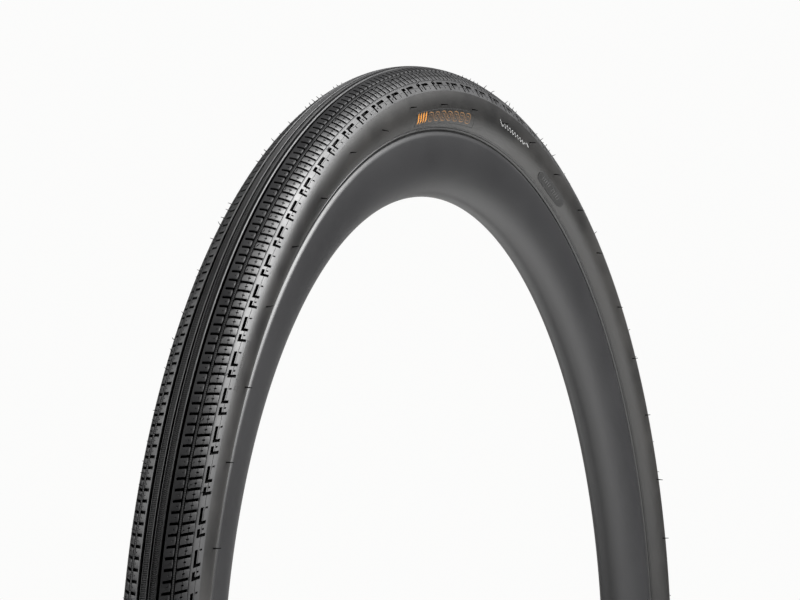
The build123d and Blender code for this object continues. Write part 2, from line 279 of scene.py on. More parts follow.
def row_d_loops():
    """The outer block row: slanting slots that taper out, a fine sipe and a short mark."""
    share, wall, deep = 0.28, 0.02, 1.6
    taper_top, taper_width = 51.2, 1.4
    sipe_low, sipe_high, sipe_depth = 44.7, 45.25, 0.5
    mark_low, mark_high, mark_depth = 43.4, 47.1, 0.8
    mark_middle, mark_reach = 0.63, 0.045
    marks = (0.0, wall, 0.14, share - wall, share, 0.32, 0.56, 0.59, 0.67, 0.70, 0.95)

    def depth(marks, t):
        taper = 1.0 - smooth_step((t - taper_top) / taper_width)
        slot = slot_depth(marks, deep, share, wall) * taper
        block = np.zeros_like(marks)
        if sipe_low < t < sipe_high:
            block = np.where(marks > share, sipe_depth, block)
        if mark_low < t < mark_high:
            block = np.where(np.abs(marks - mark_middle) < mark_reach, mark_depth, block)
        return np.maximum(np.maximum(slot, block), edge_depth(marks, share, 0.05))

    def sweep(t):
        return -0.16 - 0.38 * (t - 36.0) / 17.0

    inside = [36.45, 40.0, 43.3, 43.6, 44.6, 44.8, 45.15, 45.35, 46.9, 47.2, 50.0, 51.0, 51.8, 52.4]
    rows = [(35.85, OUTER_GROOVE), (36.05, 0.12)]
    rows += [(t, None) for t in inside] + [(53.0, 0.0)]
    return pattern_loops(BLOCK_COUNT, marks, rows, sweep, depth, phase=0.1)


def shoulder_loops():
    """Alternating long and short hooked slots, joined by a fine mould line."""
    wall = 0.04
    mould_line, mould_reach, mould_depth = 63.5, 0.2, 0.3
    # (first and last degree within a repeat, first and last section angle, depth)
    cuts = [
        (0.00, 1.44, 57.6, 62.0, 1.5),
        (1.16, 1.44, 61.6, 68.6, 1.3),
        (0.02, 0.18, 64.6, 68.4, 0.7),
        (1.76, 2.50, 57.2, 61.6, 1.5),
        (2.22, 2.50, 61.2, 70.4, 1.3),
        (1.78, 1.94, 64.0, 67.0, 0.7),
    ]
    marks = {0.68, 1.58, 2.8, 3.13}
    for cut in cuts:
        marks |= {cut[0], cut[0] + wall, cut[1] - wall, cut[1]}
    marks = np.array(sorted(round(mark, 3) for mark in marks))
    marks = marks[np.append(True, np.diff(marks) > 0.012)]
    edge_t = 0.28
    lines = {56.5, 63.2, 63.35, 63.65, 63.8, 71.7}
    for cut in cuts:
        lines |= {cut[2], cut[2] + edge_t, cut[3] - edge_t, cut[3]}
    lines = np.array(sorted(lines))
    lines = lines[np.append(True, np.diff(lines) > 0.1)]

    def depth(shares, t):
        places = shares * SHOULDER_PITCH
        total = np.full_like(places, mould_depth if abs(t - mould_line) < mould_reach else 0.0)
        for first, last, low, high, deep in cuts:
            near = np.minimum(places - first, last - places) / wall
            along = min(t - low, high - t) / edge_t
            share = np.clip(near, 0.0, 1.0) * np.clip(along, 0.0, 1.0)
            total = np.maximum(total, deep * share)
        return total

    def sweep(t):
        return -0.54 - 0.032 * (t - 56.0)

    rows = [(56.2, 0.0)] + [(t, None) for t in lines] + [(71.85, 0.0)]
    return pattern_loops(SHOULDER_COUNT, marks / SHOULDER_PITCH, rows, sweep, depth)


def tread_half(zigzag):
    """All lines of one half of the tread's outside, from the middle to the edge."""
    def herringbone(t):
        return 0.09 * (1.0 - abs(t - 7.0) / 3.0) if zigzag else 0.0

    hatch = knurl_loops(2.6, 10.6, herringbone, 0.0, 0.55, 0.0)
    fine = knurl_loops(31.9, 34.7, no_sweep, 0.12, 0.45, 0.3)
    return (
        plain_loops([(1.3, CENTRE_GROOVE), (1.5, 0.12), (1.75, 0.0), (2.4, 0.0)])
        + hatch
        + plain_loops([(10.8, 0.0), (11.0, 0.02), (12.2, 0.4), (13.0, 1.1), (13.2, SIDE_GROOVE)])
        + plain_loops([(16.2, SIDE_GROOVE), (16.45, 0.15), (16.7, 0.0), (18.8, 0.0)])
        + row_c_loops()
        + plain_loops([(31.1, 1.25), (31.7, 1.25)])
        + fine
        + plain_loops([(34.9, OUTER_GROOVE), (35.6, OUTER_GROOVE)])
        + row_d_loops()
        + plain_loops([(53.1, 0.02), (53.3, 0.28), (53.6, 0.24), (54.2, 0.05), (55.6, 0.0)])
        + shoulder_loops()
        + plain_loops([(TREAD_EDGE, 0.0)])
    )


def casing_depth(t):
    """Depth of the casing's outer face, as in the CAD model."""
    return 3.6 - 2.8 * smooth_step((np.abs(t) - 40.0) / 34.0)


def tread_floor_loops():
    """The tread's hidden underside, from the +Y edge over the belt to the -Y edge."""
    gap, belt_room = 0.05, 0.55
    edge_steps, belt_steps = 8, 24
    left = np.linspace(TREAD_EDGE, BELT_EDGE, edge_steps)
    middle = np.linspace(BELT_EDGE, -BELT_EDGE, belt_steps)
    right = np.linspace(-BELT_EDGE, -TREAD_EDGE, edge_steps)
    rows = [(t, casing_depth(t) - gap) for t in left]
    rows += [(t, casing_depth(t) - gap - belt_room) for t in middle]
    rows += [(t, casing_depth(t) - gap) for t in right]
    return plain_loops(rows, RING_COUNT)


def mirrored(loops):
    """The same lines on the -Y half, in the opposite order."""
    flip = np.array([1.0, -1.0, 1.0])
    return [(theta, points * flip) for theta, points in reversed(loops)]


def mark_sunk(piece):
    """Stores how deep each point lies under the tyre's outline, as a share of the deepest groove."""
    count = len(piece.data.vertices)
    points = np.empty(3 * count, np.float32)
    piece.data.vertices.foreach_get("co", points)
    points = points.reshape(-1, 3) / MM
    above = np.hypot(points[:, 0], points[:, 2]) - WIDEST_RADIUS
    rise = np.where(above > 0, CROWN_RISE, SHOULDER_DROP)
    depth = (1.0 - np.hypot(above / rise, points[:, 1] / HALF_WIDTH)) * HALF_WIDTH
    # the tread material paints shade into the slots from this share
    layer = piece.data.attributes.new("sunk", "FLOAT", "POINT")
    layer.data.foreach_set("value", np.clip(depth / SIDE_GROOVE, 0.0, 1.0).astype(np.float32))


def make_tread():
    near, far = tread_half(zigzag=True), tread_half(zigzag=False)
    tread = ring_solid("tread", mirrored(near) + far + tread_floor_loops())
    mark_sunk(tread)
    return settle(tread, "wheel", "tread_cap")


# ======== Sidewalls, chafers and rim ========
FLANGE_FACE = 12.2
FLANGE_TOP = 316.2
FLANGE_TIP = 0.7
RIM_HALF_WIDTH = 14.4
SHOULDER_RADIUS = 4.2
NOSE_RADIUS = 280.4
BEAD_SEAT = 310.8
BEAD_RADIUS = 2.05
BEAD_CENTRE = 313.07
BEAD_OFFSET = 10.1
CHAFER_TOP = 134.3
CHAFER_LIFT = 142.5
CHAFER_THICKNESS = 0.4
FLANGE_GAP = 0.05
SEAT_INNER_EDGE = 8.0
WELL_EDGE = 5.3
WELL_RADIUS = 307.5
VALVE_HOLE_RADIUS = 3.25
DRILL_FOOT = -0.318
DRILL_TOP = -0.270


def section_loops(points):
    """Closed lines round the wheel through section points given as (radius, offset) in mm."""
    theta = even_angles(RING_COUNT)
    return [(theta, wheel_points(theta, radius, offset)) for radius, offset in points]


def make_sidewall(name, side):
    """The smooth sidewall rubber, from the tread's edge down to the chafer."""
    outer_steps, inner_steps = 42, 16
    outside = [(t, 0.0) for t in np.linspace(SIDEWALL_TOP, SIDEWALL_FOOT, outer_steps)]
    inside = [(t, SIDEWALL_THICKNESS)
              for t in np.linspace(SIDEWALL_FOOT, SIDEWALL_TOP, inner_steps)]
    loops = plain_loops([(side * t, depth) for t, depth in outside + inside], RING_COUNT)
    if side < 0:
        loops = loops[::-1]
    node = "sidewall_left" if side > 0 else "sidewall_right"
    return settle(ring_solid(name, loops), "wheel", node)


def flange_curve(share, depth):
    """From the sidewall's foot (share 0) down to the flange's inner face (share 1)."""
    start = np.array(section(CHAFER_LIFT, depth)).ravel()
    end = np.array([BEAD_CENTRE + 2.0, FLANGE_FACE - FLANGE_GAP - depth])
    # (radius, offset) slopes at the curve's two ends
    leave, arrive = np.array([-1.9, -2.4]) * 0.55, np.array([-2.4, 0.0]) * 0.9
    square, cube = share * share, share ** 3
    return (
        (2 * cube - 3 * square + 1) * start + (cube - 2 * square + share) * leave
        + (3 * square - 2 * cube) * end + (cube - square) * arrive
    )


def make_chafer(name, node, side):
    """The strip round the bead, with the fitting line that shows just above the rim's edge."""
    # (t, rise) of a shallow groove and the moulded rib below it, just above the rim's edge
    rib = ((136.2, 0.0), (136.5, -0.28), (137.5, -0.3), (137.8, 0.28), (139.0, 0.35), (139.4, 0.42),
           (140.8, 0.38), (141.6, 0.12))
    curl, curl_points = -160, 9

    def line(depth, rib_share):
        above = [section(CHAFER_TOP, depth)]
        above += [section(t, depth - rise * rib_share) for t, rise in rib]
        shares = (0.0, 0.1, 0.2, 0.35, 0.5, 0.7, 0.85, 1.0)
        free = [flange_curve(share, depth) for share in shares]
        beside = [(BEAD_CENTRE + 0.8, FLANGE_FACE - FLANGE_GAP - depth)]
        round_bead = [
            (BEAD_CENTRE + (BEAD_RADIUS - depth) * math.sin(math.radians(angle)),
             BEAD_OFFSET + (BEAD_RADIUS - depth) * math.cos(math.radians(angle)))
            for angle in np.linspace(0, curl, curl_points)
        ]
        return above + free + beside + round_bead

    points = line(0.0, 1.0) + line(CHAFER_THICKNESS, 0.0)[::-1]
    loops = section_loops([(radius, side * offset) for radius, offset in points])
    if side < 0:
        loops = loops[::-1]
    return settle(ring_solid(name, loops), "wheel", node)


def cut_valve_hole(ring):
    """Drills the valve's hole through the bottom of a ring."""
    count, reach = 48, VALVE_HOLE_RADIUS * MM
    heights = (DRILL_FOOT, DRILL_TOP)
    lines = [level_circle(even_turns(count), reach, height) for height in heights]
    centres = np.array([[0, 0, height] for height in heights])
    here = np.arange(count)
    after = (here + 1) % count
    walls = np.stack([here, after, after + count, here + count], axis=1)
    floor = np.stack([after, here, np.full(count, 2 * count)], axis=1)
    roof = np.stack([here + count, after + count, np.full(count, 2 * count + 1)], axis=1)
    caps = np.concatenate([floor, roof])
    drill = make_object("drill", np.concatenate(lines + [centres]), walls, caps)
    cut = ring.modifiers.new("valve_hole", "BOOLEAN")
    cut.object = drill
    cut.operation = "DIFFERENCE"
    cut.solver = "EXACT"
    bpy.context.view_layer.update()
    graph = bpy.context.evaluated_depsgraph_get()
    mesh = bpy.data.meshes.new_from_object(ring.evaluated_get(graph))
    ring.modifiers.clear()
    ring.data = mesh
    bpy.data.objects.remove(drill)


def make_rim():
    """The deep rim: elliptical flanks, round-shouldered flanges and a bed with bead seats."""
    flank_points, shoulder_points, tip_points = 57, 8, 9
    tip_radius, tip_offset = FLANGE_TOP - FLANGE_TIP, FLANGE_FACE + FLANGE_TIP
    shoulder_offset = RIM_HALF_WIDTH - SHOULDER_RADIUS
    reach, aside = SHOULDER_RADIUS - FLANGE_TIP, tip_offset - shoulder_offset
    widest_radius = tip_radius - math.sqrt(reach**2 - aside**2)
    join = math.acos(aside / reach)
    depth = widest_radius - NOSE_RADIUS
    flank = [
        (widest_radius - depth * math.sin(turn), RIM_HALF_WIDTH * math.cos(turn))
        for turn in np.linspace(0, math.pi, flank_points)
    ]
    shoulder = [
        (widest_radius + SHOULDER_RADIUS * math.sin(turn),
         shoulder_offset + SHOULDER_RADIUS * math.cos(turn))
        for turn in np.linspace(0, join, shoulder_points)[1:]
    ]
    tip = [
        (tip_radius + FLANGE_TIP * math.sin(turn), tip_offset + FLANGE_TIP * math.cos(turn))
        for turn in np.linspace(join, math.pi, tip_points)[1:]
    ]
    bed = [(BEAD_SEAT + 0.5, FLANGE_FACE), (BEAD_SEAT, FLANGE_FACE - 0.5)]
    bed += [(BEAD_SEAT, SEAT_INNER_EDGE), (WELL_RADIUS, WELL_EDGE)]
    left = (shoulder + tip + bed)[::-1]
    right = [(radius, -offset) for radius, offset in shoulder + tip + bed]
    rim = ring_solid("rim_shell", section_loops(flank + right + left))
    cut_valve_hole(rim)
    return settle(rim, "wheel", "rim")


# ======== Marks on the rubber ========
# a mark's longest steps, in degrees of theta and of t
LONGEST_THETA = 0.5
LONGEST_T = 1.5
# how deep a printed film's underside lies below the rubber's surface
FILM_SINK = 0.02


def arc_rate(t):
    """Millimetres along the tyre section for each degree of t."""
    turn = np.radians(t)
    rise = np.where(np.cos(turn) > 0, CROWN_RISE, SHOULDER_DROP)
    return np.hypot(rise * np.sin(turn), HALF_WIDTH * np.cos(turn)) * math.pi / 180.0


def finer(places, closed):
    """More (theta, t) places along a line, so that a mark bends with the surface."""
    places = np.asarray(places, float)
    following = np.roll(places, -1, axis=0)
    out = []
    for here, after in zip(places if closed else places[:-1], following):
        theta_steps = abs(after[0] - here[0]) / LONGEST_THETA
        steps = max(1, math.ceil(max(theta_steps, abs(after[1] - here[1]) / LONGEST_T)))
        out += [here + (after - here) * step / steps for step in range(steps)]
    return np.array(out if closed else out + [places[-1]])


class Marks:
    """Thin raised marks that follow the tyre's surface, gathered into one closed-shell mesh."""

    def __init__(self, side):
        self.side = side
        self.points = []
        self.quads = []
        self.triangles = []
        self.total = 0

    def surface(self, theta, t, depth):
        return wheel_points(theta, *section(self.side * np.asarray(t, float), depth))

    def add(self, points, quads, triangles=()):
        self.points.append(points)
        self.quads.extend(tuple(self.total + index for index in face) for face in quads)
        self.triangles.extend(tuple(self.total + index for index in face) for face in triangles)
        self.total += len(points)

    def stroke(self, places, width, low, high, closed=False):
        """A bar of a given width in mm along (theta, t) places, from depth low up to height high."""
        places = finer(places, closed)
        radius = section(self.side * places[:, 1], 0.0)[0]
        scale = np.stack([radius * math.pi / 180.0, arc_rate(places[:, 1])], axis=1)
        flat = places * scale
        ahead = np.roll(flat, -1, axis=0) - flat
        behind = flat - np.roll(flat, 1, axis=0)
        if not closed:
            ahead[-1], behind[0] = behind[-1], ahead[0]
        ahead /= np.linalg.norm(ahead, axis=1)[:, None]
        behind /= np.linalg.norm(behind, axis=1)[:, None]
        along = ahead + behind
        along /= np.linalg.norm(along, axis=1)[:, None]
        miter = 1.0 / np.maximum(np.sum(along * ahead, axis=1), 0.5)
        across = np.stack([-along[:, 1], along[:, 0]], axis=1) * (width / 2 * miter)[:, None]
        one, two = (flat + across) / scale, (flat - across) / scale
        rows = [
            self.surface(one[:, 0], one[:, 1], low),
            self.surface(one[:, 0], one[:, 1], -high),
            self.surface(two[:, 0], two[:, 1], -high),
            self.surface(two[:, 0], two[:, 1], low),
        ]
        count = len(places)
        spans = range(count if closed else count - 1)
        quads = []
        for here in spans:
            after = (here + 1) % count
            for row in range(4):
                following = (row + 1) % 4
                quads.append((row * count + here, following * count + here,
                              following * count + after, row * count + after))
        if not closed:
            quads.append((0, 3 * count, 2 * count, count))
            last = count - 1
            quads.append((last, count + last, 2 * count + last, 3 * count + last))
        self.add(np.concatenate(rows), quads)

    def patch(self, outline, low, high, rings):
        """A filled plate from a closed outline of (theta, t) places, curved over the surface."""
        outline = np.asarray(outline, float)
        middle = outline.mean(axis=0)
        count = len(outline)
        rows = [(1.0, low)] + [(share, -high) for share in np.linspace(0.985, 0.15, rings)]
        points = []
        for share, depth in rows:
            place = middle + (outline - middle) * share
            points.append(self.surface(place[:, 0], place[:, 1], depth))
        under = [
            self.surface(*(middle + (outline - middle) * share).T, low)
            for share in np.linspace(0.85, 0.15, rings)
        ]
        tips = [self.surface(middle[0], middle[1], -high)[None], self.surface(*middle, low)[None]]
        quads, triangles = [], []
        here = np.arange(count)
        after = (here + 1) % count

        def span(first, second):
            quads.extend(map(tuple, np.stack(
                [first + here, first + after, second + after, second + here], 1)))

        for row in range(rings):
            span(row * count, (row + 1) * count)
        foot = (rings + 1) * count
        span(foot, 0)
        for row in range(rings - 1):
            span(foot + (row + 1) * count, foot + row * count)
        top_tip = foot + rings * count
        last_top, last_under = rings * count, foot + (rings - 1) * count
        for one, two in zip(here, after):
            triangles.append((last_top + one, last_top + two, top_tip))
            triangles.append((last_under + two, last_under + one, top_tip + 1))
        self.add(np.concatenate(points + under + tips), quads, triangles)

    def finish(self, name, slot):
        piece = make_object(name, np.concatenate(self.points), self.quads, self.triangles)
        fix_normals(piece)
        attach(piece, "wheel")
        return piece


def fix_normals(piece):
    """Turns every face of a closed mesh outwards."""
    work = bmesh.new()
    work.from_mesh(piece.data)
    bmesh.ops.recalc_face_normals(work, faces=work.faces)
    work.to_mesh(piece.data)
    work.free()


def capsule(middle, half_length, half_width, lean):
    """A slanted capsule outline in (theta, t), from half sizes in those degrees."""
    points, roundness = 10, 0.7
    places = []
    for turn in np.linspace(0, 2 * math.pi, 2 * points, endpoint=False):
        across = math.copysign(abs(math.cos(turn)) ** roundness, math.cos(turn)) * half_length
        up = math.copysign(abs(math.sin(turn)) ** roundness, math.sin(turn)) * half_width
        places.append((middle[0] + across + lean * up, middle[1] + up))
    return places


def make_size_label(side, word):
    """A generic transfer: an outlined band of double capsules, with slanting bars at one end."""
    marks, bars, frame_line = Marks(side), Marks(side), Marks(side)
    high_t, low_t, lean = 101.0, 127.0, -0.028
    start, end = 103.9, 89.3
    bar_count, bar_pitch, bar_start = 4, 0.62, 0.55
    capsule_count, capsule_pitch, capsule_start, capsule_t = 7, 1.55, 4.0, 113.5

    def place(theta, t):
        return theta + lean * (t - high_t), t

    outline = [place(end, high_t), place(start, high_t), place(start, low_t), place(end, low_t)]
    frame_line.stroke(outline, 0.35, FILM_SINK, 0.045, closed=True)
    for index in range(bar_count):
        theta = start - bar_start - bar_pitch * index
        bars.stroke([place(theta, 104.0), place(theta, 121.0)], 1.9, FILM_SINK, 0.055)
    for index in range(capsule_count):
        theta = start - capsule_start - capsule_pitch * index
        tall = 8.6 - 0.5 * (index % 2)
        for shrink, width in ((1.0, 0.55), (0.45, 0.35)):
            shape = capsule((theta, capsule_t), 0.6 * shrink, tall * shrink, lean)
            marks.stroke(shape, width, FILM_SINK, 0.05, closed=True)
    label = marks.finish(f"size_label_{word}_print", "label_film")
    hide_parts(f"size_label_{word}")
    return (label, bars.finish(f"size_bars_{word}_print", "label_film"),
            frame_line.finish(f"size_frame_{word}_print", "label_film"))


def make_band_label(side, word):
    """A generic pale transfer: a run of small waves between two short bars."""
    marks = Marks(side)
    steps, waves, swing, rise = 90, 9, 3.2, 0.05
    shares = np.linspace(0, 1, steps)
    theta = 82.2 - 6.4 * shares
    t = 97.0 + 4.0 * shares + swing * np.sin(shares * 2 * math.pi * waves) * (1.0 - 0.4 * shares)
    marks.stroke(np.stack([theta, t], axis=1), 0.5, FILM_SINK, rise)
    marks.stroke([(82.9, 92.0), (82.2, 101.0)], 0.6, FILM_SINK, rise)
    marks.stroke([(75.6, 96.5), (74.9, 100.5)], 0.6, FILM_SINK, rise)
    label = marks.finish(f"band_label_{word}_print", "pale_film")
    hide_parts(f"band_label_{word}")
    return label


def stadium(first, last, low, high):
    """A stadium outline in (theta, t) degrees with round ends."""
    points, reach = 12, 1.05
    middle_t, half_t = (low + high) / 2, (high - low) / 2
    places = []
    for turn in np.linspace(-math.pi / 2, math.pi / 2, points):
        places.append((last - reach + reach * math.cos(turn), middle_t + half_t * math.sin(turn)))
    for turn in np.linspace(math.pi / 2, 3 * math.pi / 2, points):
        places.append((first + reach + reach * math.cos(turn), middle_t + half_t * math.sin(turn)))
    return places


def make_plate(side, word):
    """A moulded stadium-shaped plate, with rows of plain pips where lettering would be."""
    marks = Marks(side)
    marks.patch(stadium(63.1, 70.5, 108.5, 127.5), 0.1, 0.22, rings=8)
    plate = marks.finish(f"moulded_plate_{word}", "sidewall_rubber")
    pips = Marks(side)
    count, gap, first, pitch, lean = 11, 5, 64.6, 0.46, 0.1
    for index in range(count):
        if index != gap:
            place = first + pitch * index
            pips.stroke([(place, 114.6), (place + lean, 121.4)], 0.5, -0.2, 0.3)
    return plate, pips.finish(f"moulded_pips_{word}", "sidewall_rubber")


def make_serration(side, word):
    """A short moulded patch of slanting ticks on the sidewall."""
    marks = Marks(side)
    count, first, pitch, lean = 30, 146.6, 0.165, 0.12
    for index in range(count):
        place = first + pitch * index
        marks.stroke([(place, 72.9), (place - lean, 80.9)], 0.3, 0.1, 0.16)
    return marks.finish(f"moulded_ticks_{word}", "sidewall_rubber")


def whisker(theta, t, reach, lean, thick):
    """One tapering rubber hair: (points, quads, triangles), standing reach mm off the surface."""
    sides, levels, foot_depth, taper = 5, 4, 0.25, 0.55
    foot = wheel_points(theta, *section(t, foot_depth))
    up = wheel_points(theta, *section(t, -1.0)) - wheel_points(theta, *section(t, 0.0))
    up /= np.linalg.norm(up)
    along = up + lean
    along /= np.linalg.norm(along)
    middle, tip = foot + up * reach * 0.5 * MM, foot + along * reach * MM
    one = np.cross(along, [0.6, 0.0, 0.8] if abs(along[1]) > 0.9 else [0.0, 1.0, 0.0])
    one /= np.linalg.norm(one)
    two = np.cross(along, one)
    turn = even_turns(sides)[:, None]
    points, quads, triangles = [], [], []
    for level in range(levels):
        share = level / (levels - 1)
        centre = (1 - share) ** 2 * foot + 2 * share * (1 - share) * middle + share**2 * tip
        radius = thick * (1.0 - taper * share) * MM
        points.append(centre + radius * (np.cos(turn) * one + np.sin(turn) * two))
    top, caps = (levels - 1) * sides, levels * sides
    for here in range(sides):
        after = (here + 1) % sides
        for low in range(0, top, sides):
            quads.append((low + here, low + after, low + sides + after, low + sides + here))
        triangles += [(after, here, caps), (top + here, top + after, caps + 1)]
    return np.concatenate(points + [foot[None], tip[None]]), quads, triangles


def make_vent_hairs():
    """Thin rubber whiskers left by the mould's vents, on the blocks, shoulders and sidewalls."""
    hairs = Marks(1)
    side_hairs = 48

    def grow(theta, t, reach, thick, bend):
        hairs.add(*whisker(theta, t, reach, RNG.uniform(-bend, bend, 3), thick))

    for side in (-1, 1):
        for index in range(BLOCK_COUNT):
            if RNG.random() < 0.4:
                theta = index * BLOCK_PITCH + 0.5 + RNG.uniform(-0.08, 0.08)
                grow(theta, side * 38.5, RNG.uniform(1.3, 2.6), 0.26, 0.3)
        for index in range(SHOULDER_COUNT):
            if RNG.random() < 0.35:
                theta = index * SHOULDER_PITCH + 1.6
                grow(theta, side * 56.6, RNG.uniform(1.3, 2.4), 0.26, 0.3)
        for index in range(side_hairs):
            theta = index * 360.0 / side_hairs + RNG.uniform(-0.5, 0.5)
            grow(theta, side * RNG.uniform(87.0, 98.0), RNG.uniform(3.6, 4.2), 0.42, 0.1)
    return hairs.finish("vent_hairs", "tread_rubber")


# ======== Valve ========
STEM_RADIUS = 2.95
STEM_TIP_RADIUS = 2.6
STEM_BORE = 1.6
STEM_HEAD_RADIUS = 4.2
STEM_HEAD_TOP = -311.2
VALVE_FOOT = -312.4
THREAD_FOOT = -300.0
STEM_TIP_FOOT = -262.0
STEM_TOP = -252.0
CORE_POCKET = 2.0
THREAD_PITCH = 0.8
TIP_THREAD_PITCH = 1.0


def axis_loops(rows, count=48, wave=None):
    """Closed lines round the valve's line from (radius, height) rows in mm."""
    turn = even_turns(count)
    loops = []
    for radius, height in rows:
        reach = radius if wave is None else radius + wave(turn, radius, height)
        loops.append((np.degrees(turn), level_circle(turn, reach, height) * MM))
    return loops


def turned_solid(name, rows, node, body, count=48, wave=None):
    """A solid of revolution about the valve's line, from its closed section."""
    piece = ring_solid(name, axis_loops(rows, count, wave))
    fix_normals(piece)
    return settle(piece, body, node)


def ridges(share, deep):
    """The change of radius across pointed ridges, from their places in whole ridges."""
    return -deep * (1.0 - np.abs(2.0 * (share % 1.0) - 1.0))


def thread_wave(pitch, deep, low, high):
    """A helical thread cut between two heights, as a change of radius."""
    def wave(turn, radius, height):
        if radius < STEM_TIP_RADIUS - 0.01 or not low < height < high:
            return np.zeros_like(turn)
        return ridges(height / pitch - turn / (2 * math.pi), deep)
    return wave


def make_valve_stem():
    body_thread = thread_wave(THREAD_PITCH, 0.42, THREAD_FOOT, STEM_TIP_FOOT - 1.2)
    tip_thread = thread_wave(TIP_THREAD_PITCH, 0.3, STEM_TIP_FOOT + 1.0, STEM_TOP - 0.6)

    def wave(turn, radius, height):
        return body_thread(turn, radius, height) + tip_thread(turn, radius, height)

    body_step, tip_step = THREAD_PITCH / 8, TIP_THREAD_PITCH / 8
    rows = [(STEM_BORE, VALVE_FOOT), (STEM_HEAD_RADIUS - 0.3, VALVE_FOOT)]
    rows += [(STEM_HEAD_RADIUS, VALVE_FOOT + 0.3), (STEM_HEAD_RADIUS, STEM_HEAD_TOP)]
    rows += [(STEM_RADIUS, STEM_HEAD_TOP + 0.01)]
    rows += [(STEM_RADIUS, height)
             for height in np.arange(THREAD_FOOT, STEM_TIP_FOOT - 0.35, body_step)]
    rows += [(STEM_RADIUS - 0.3, STEM_TIP_FOOT), (STEM_TIP_RADIUS, STEM_TIP_FOOT + 0.01)]
    rows += [(STEM_TIP_RADIUS, height)
             for height in np.arange(STEM_TIP_FOOT + 0.5, STEM_TOP - 0.3, tip_step)]
    rows += [(STEM_TIP_RADIUS, STEM_TOP - 0.25), (STEM_TIP_RADIUS - 0.25, STEM_TOP)]
    rows += [(CORE_POCKET, STEM_TOP), (CORE_POCKET, STEM_TIP_FOOT), (STEM_BORE, STEM_TIP_FOOT)]
    return turned_solid("valve_stem_threaded", rows, "valve_stem", "wheel",
                        wave=wave)


def knurl_wave(teeth, deep, low, high, outer):
    """Straight knurling round a nut's rim."""
    def wave(turn, radius, height):
        if radius < outer - 0.01 or not low < height < high:
            return np.zeros_like(turn)
        return ridges(turn * teeth / (2 * math.pi), deep)
    return wave


def make_rim_nut():
    radius, foot, top, chamfer, bore = 6.5, -279.6, -274.4, 0.5, 3.0
    teeth, seat_radius, seat_height = 36, 5.35, -278.2
    wave = knurl_wave(teeth, 0.35, foot + chamfer - 0.01, top - chamfer + 0.01, radius)
    rows = [(seat_radius, foot), (radius - chamfer, foot), (radius, foot + chamfer)]
    rows += [(radius, top - chamfer), (radius - chamfer, top), (radius - 1.6, top)]
    rows += [(radius - 1.9, top - 0.25), (bore + 0.7, top - 0.25), (bore + 0.4, top)]
    rows += [(bore + 0.25, top), (bore, top - 0.25), (bore, seat_height)]
    rows += [(seat_radius, seat_height)]
    return turned_solid("rim_nut_knurled", rows, "rim_nut", "rim_nut",
                        count=4 * teeth, wave=wave)


def make_pin_nut():
    radius, foot, top, chamfer, bore = 1.9, -246.45, -243.95, 0.3, 0.8
    teeth = 20
    wave = knurl_wave(teeth, 0.16, foot + chamfer - 0.01, top - chamfer + 0.01, radius)
    rows = [(bore, foot), (radius - chamfer, foot), (radius, foot + chamfer)]
    rows += [(radius, top - chamfer), (radius - chamfer, top), (bore + 0.2, top), (bore, top - 0.2)]
    return turned_solid("pin_nut_knurled", rows, "pin_nut", "pin_nut",
                        count=4 * teeth, wave=wave)


# ======== Materials ========
def add_node(tree, kind, inputs=(), **settings):
    """A shader node; each input is a value, or another node's output to link."""
    node = tree.nodes.new(kind)
    for key, value in settings.items():
        setattr(node, key, value)
    for key, value in dict(inputs).items():
        if isinstance(value, bpy.types.NodeSocket):
            tree.links.new(value, node.inputs[key])
        else:
            node.inputs[key].default_value = value
    return node


class Nodes:
    """A small helper for building a procedural material."""

    def __init__(self, name):
        self.material = bpy.data.materials.new(name)
        self.material.use_nodes = True
        self.tree = self.material.node_tree
        self.shader = self.tree.nodes["Principled BSDF"]
        self.place = self.add("ShaderNodeTexCoord").outputs["Object"]

    def add(self, kind, inputs=(), **settings):
        return add_node(self.tree, kind, inputs, **settings)

    def noise(self, scale, detail=4.0):
        inputs = {"Vector": self.place, "Scale": scale, "Detail": detail, "Roughness": 0.6}
        return self.add("ShaderNodeTexNoise", inputs).outputs["Fac"]

    def spread(self, value, low, high, start=0.3, end=0.7):
        inputs = {"Value": value, "From Min": start, "From Max": end, "To Min": low, "To Max": high}
        return self.add("ShaderNodeMapRange", inputs).outputs["Result"]

    def mix(self, share, first, second):
        node = self.add("ShaderNodeMix", data_type="RGBA")
        self.tree.links.new(share, node.inputs["Factor"])
        for socket, colour in ((node.inputs["A"], first), (node.inputs["B"], second)):
            if isinstance(colour, bpy.types.NodeSocket):
                self.tree.links.new(colour, socket)
            else:
                socket.default_value = (*colour, 1.0)
        return node.outputs["Result"]

    def bump(self, height, strength, distance):
        inputs = {"Height": height, "Strength": strength, "Distance": distance}
        return self.add("ShaderNodeBump", inputs).outputs["Normal"]

    def feed(self, **sockets):
        for key, value in sockets.items():
            socket = self.shader.inputs[key.replace("_", " ")]
            if isinstance(value, bpy.types.NodeSocket):
                self.tree.links.new(value, socket)
            else:
                socket.default_value = value


def surface_material(name, dark, light, rough, patch=40.0, grain=900.0, bump=0.2, depth=0.0001,
                     **extra):
    """A mottled surface: two tones, roughness that wanders, and a fine grain."""
    nodes = Nodes(name)
    mottle, fine = nodes.noise(patch), nodes.noise(grain, 3.0)
    tone = nodes.mix(nodes.spread(mottle, 0.0, 1.0), dark, light)
    nodes.feed(Base_Color=tone,
               Roughness=nodes.spread(mottle, rough[0], rough[1]),
               Normal=nodes.bump(fine, bump, depth),
               **extra)
    return nodes.material


